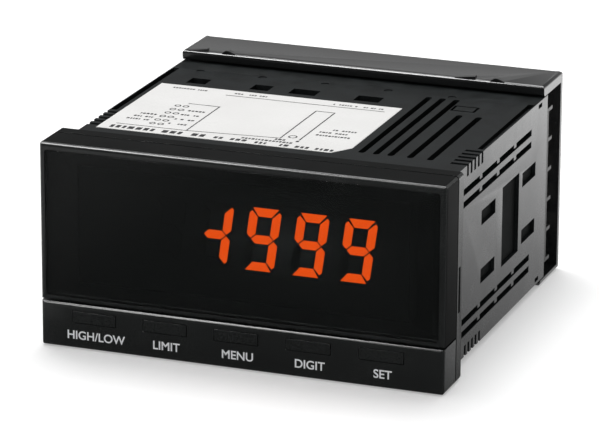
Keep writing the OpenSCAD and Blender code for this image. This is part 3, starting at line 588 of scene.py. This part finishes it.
labelPrint = {  # all in mm, from the label's front left corner
    "thick": 0.02, "line": 0.32,
    # outlines: points joined by lines
    "outlines": [
        [(3.2, 4.6), (20.2, 4.6), (20.2, 25.4), (12.6, 25.4)],
        [(42.2, 6.6), (42.2, 30.2), (46.8, 30.2), (46.8, 6.6)],
        [(20.2, 4.6), (42.2, 6.6)],
        [(18, 35.2), (57, 35.2)],
    ],
    # rows of short bars that stand for small print: start, end, place of the row, height of the bars
    "rows": [
        (2.6, 26, 1.2, 2), (28, 36.2, 1.2, 1.5), (34, 46, 3.3, 1), (38, 57, 0.8, 1.5),
        (3.6, 9, 9, 0.9), (4.4, 9.2, 11.4, 0.9), (4.4, 8.8, 13.8, 0.9), (14.2, 18.8, 8.2, 0.9),
        (14.2, 19, 12, 0.9), (14.2, 18.4, 15.8, 0.9), (14.6, 18.8, 19.4, 0.9),
        (48.8, 56.4, 11.6, 0.9), (48.8, 55.2, 14, 0.9), (50.6, 57, 16.4, 0.9), (41.4, 46.8, 5, 1),
        (4, 12, 36.6, 0.8), (19.4, 27.6, 36.8, 0.8), (44, 56, 36.6, 0.8),
    ],
    # columns of terminal circles: x, first y, step, count, radius
    "columns": [(10.8, 7.4, 3.1, 6, 0.8), (12.8, 7.4, 3.1, 6, 0.8), (44.5, 8.6, 0, 1, 1.1)],
}


# thin black shapes on the label: frames, terminal circles and bars in place of small print
def addLabelPrint(v):
    bm = bmesh.new()
    top = labelHigh.z + v["thick"] * mm
    draw = random.Random(4)

    def quad(corners):
        points = [bm.verts.new((labelLow.x + x * mm, labelLow.y + y * mm, top)) for x, y in corners]
        bm.faces.new(points)

    def stroke(a, b, width):
        along = (Vector(b) - Vector(a)).normalized() * width / 2
        side = Vector((-along.y, along.x))
        a, b = Vector(a) - along, Vector(b) + along
        quad([a - side, b - side, b + side, a + side])

    for points in v["outlines"]:
        for a, b in zip(points, points[1:]):
            stroke(a, b, v["line"])
    for start, end, y, height in v["rows"]:
        x = start
        while x < end:
            width = draw.uniform(0.35, 0.75) * height
            if draw.random() < 0.85:
                quad([(x, y), (x + width, y), (x + width, y + height), (x, y + height)])
            x += width + 0.28 * height
    for x, y, step, count, radius in v["columns"]:
        for i in range(count):
            ring = [Vector((math.cos(math.tau * k / 16), math.sin(math.tau * k / 16))) for k in range(16)]
            centre = Vector((x, y + i * step))
            for a, b in zip(ring, ring[1:] + ring[:1]):
                quad([centre + a * (radius - v["line"]), centre + a * radius, centre + b * radius,
                      centre + b * (radius - v["line"])])
    bmesh.ops.recalc_face_normals(bm, faces=bm.faces)
    for face in bm.faces:
        if face.normal.z < 0:
            face.normal_flip()
    mesh = bpy.data.meshes.new("label_print")
    bm.to_mesh(mesh)
    bm.free()
    mesh.materials.append(materials["blackInk"])
    piece = bpy.data.objects.new("label_print", mesh)
    bpy.context.scene.collection.objects.link(piece)
    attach(piece, bodyOf["rating_label"])


addLabelPrint(labelPrint)
print("label printed")

studio = {
    "floorColour": (0.8, 0.8, 0.8),
    "floorGlow": 0.28,  # seen by the camera only, so that the floor is white and its shadow light
    "worldSeen": 1.0,
    "worldLight": 0.62,
    "floorShine": [(-20, 0.04), (20, 0.35), (90, 0.7), (230, 2.1)],  # what gloss shows of the floor: y in mm, level
    "cardShine": [(-100, 0.7), (-50, 0)],  # pale card that the front shows at its left: x in mm, level
    "worldShine": [(-0.3, 0.05), (0.3, 0.12), (0.85, 0.32), (1, 0.45)],  # and of the backdrop: y of direction, level
    "lamps": {  # place, size in metres, power, whether it lights or only glints
        "keyLight": ((-0.15, 0.3, 1.1), 0.6, 9, True),
        "rimLight": ((-0.42, -0.35, 0.9), 0.35, 11, False),
    },
}


# grey ramp over a value, with stops of position and level
def levelRamp(tree, value, stops):
    first, last = stops[0][0], stops[-1][0]
    share = tree.nodes.new("ShaderNodeMapRange")
    share.inputs["From Min"].default_value = first
    share.inputs["From Max"].default_value = last
    tree.links.new(value, share.inputs["Value"])
    ramp = tree.nodes.new("ShaderNodeValToRGB")
    top = max(level for at, level in stops)
    for i, (at, level) in enumerate(stops):
        place = (at - first) / (last - first)
        if i < 2:
            stop = ramp.color_ramp.elements[i]
            stop.position = place
        else:
            stop = ramp.color_ramp.elements.new(place)
        stop.color = (level / top,) * 3 + (1,)
    tree.links.new(share.outputs["Result"], ramp.inputs["Fac"])
    scale = tree.nodes.new("ShaderNodeMath")
    scale.operation = "MULTIPLY"
    scale.inputs[1].default_value = top
    tree.links.new(ramp.outputs["Color"], scale.inputs[0])
    return scale.outputs["Value"]


# the larger of two values
def greatest(tree, first, second):
    node = tree.nodes.new("ShaderNodeMath")
    node.operation = "MAXIMUM"
    tree.links.new(first, node.inputs[0])
    tree.links.new(second, node.inputs[1])
    return node.outputs["Value"]


# one axis of a vector, scaled
def along(tree, vector, axis, scale):
    split = tree.nodes.new("ShaderNodeSeparateXYZ")
    tree.links.new(vector, split.inputs["Vector"])
    scaled = tree.nodes.new("ShaderNodeMath")
    scaled.operation = "MULTIPLY"
    scaled.inputs[1].default_value = scale
    tree.links.new(split.outputs[axis], scaled.inputs[0])
    return scaled.outputs["Value"]


def addFloor(v):
    bm = bmesh.new()
    bmesh.ops.create_grid(bm, x_segments=1, y_segments=1, size=3)
    bmesh.ops.translate(bm, verts=bm.verts, vec=(0, 0, cadBounds[0][2] - 0.0001))
    mesh = bpy.data.meshes.new("floor")
    bm.to_mesh(mesh)
    bm.free()
    floor = bpy.data.objects.new("floor", mesh)
    bpy.context.scene.collection.objects.link(floor)
    material = bpy.data.materials.new("studioFloor")
    material.use_nodes = True
    tree = material.node_tree
    tree.nodes.clear()
    make, link = tree.nodes.new, tree.links.new
    path = make("ShaderNodeLightPath")
    matt = make("ShaderNodeBsdfDiffuse")
    matt.inputs["Color"].default_value = (*v["floorColour"], 1)
    glow = make("ShaderNodeEmission")
    strength = make("ShaderNodeMath")
    strength.operation = "MULTIPLY"
    strength.inputs[1].default_value = v["floorGlow"]
    link(greatest(tree, path.outputs["Is Camera Ray"], path.outputs["Is Transmission Ray"]), strength.inputs[0])
    link(strength.outputs["Value"], glow.inputs["Strength"])
    total = make("ShaderNodeAddShader")
    link(matt.outputs["BSDF"], total.inputs[0])
    link(glow.outputs["Emission"], total.inputs[1])
    place = make("ShaderNodeTexCoord")
    shine = make("ShaderNodeEmission")
    depth = levelRamp(tree, along(tree, place.outputs["Object"], "Y", 1 / mm), v["floorShine"])
    card = levelRamp(tree, along(tree, place.outputs["Object"], "X", 1 / mm), v["cardShine"])
    link(greatest(tree, depth, card), shine.inputs["Strength"])
    which = make("ShaderNodeMixShader")
    link(path.outputs["Is Glossy Ray"], which.inputs["Fac"])
    link(total.outputs["Shader"], which.inputs[1])
    link(shine.outputs["Emission"], which.inputs[2])
    end = make("ShaderNodeOutputMaterial")
    link(which.outputs["Shader"], end.inputs["Surface"])
    mesh.materials.append(material)


def addWorld(v):
    world = bpy.data.worlds.new("studio")
    bpy.context.scene.world = world
    world.use_nodes = True
    tree = world.node_tree
    tree.nodes.clear()
    make, link = tree.nodes.new, tree.links.new
    path = make("ShaderNodeLightPath")
    level = make("ShaderNodeMapRange")
    level.inputs["To Min"].default_value = v["worldLight"]
    level.inputs["To Max"].default_value = v["worldSeen"]
    link(greatest(tree, path.outputs["Is Camera Ray"], path.outputs["Is Transmission Ray"]), level.inputs["Value"])
    direction = make("ShaderNodeTexCoord")
    shine = levelRamp(tree, along(tree, direction.outputs["Generated"], "Y", 1), v["worldShine"])
    which = make("ShaderNodeMix")
    link(path.outputs["Is Glossy Ray"], which.inputs["Factor"])
    link(level.outputs["Result"], which.inputs["A"])
    link(shine, which.inputs["B"])
    back = make("ShaderNodeBackground")
    back.inputs["Color"].default_value = (1, 1, 1, 1)
    link(which.outputs["Result"], back.inputs["Strength"])
    end = make("ShaderNodeOutputWorld")
    link(back.outputs["Background"], end.inputs["Surface"])


def addSoftbox(name, place, size, power, lights):
    data = bpy.data.lights.new(name, "AREA")
    data.size = size
    data.energy = power
    lamp = bpy.data.objects.new(name, data)
    lamp.location = place
    lamp.rotation_euler = (-Vector(place)).to_track_quat("-Z", "Y").to_euler()
    lamp.visible_diffuse = lights
    bpy.context.scene.collection.objects.link(lamp)
    return lamp


addFloor(studio)
addWorld(studio)
for name, settings in studio["lamps"].items():
    addSoftbox(name, *settings)
bpy.context.scene.view_settings.view_transform = "Standard"
print("studio ready")
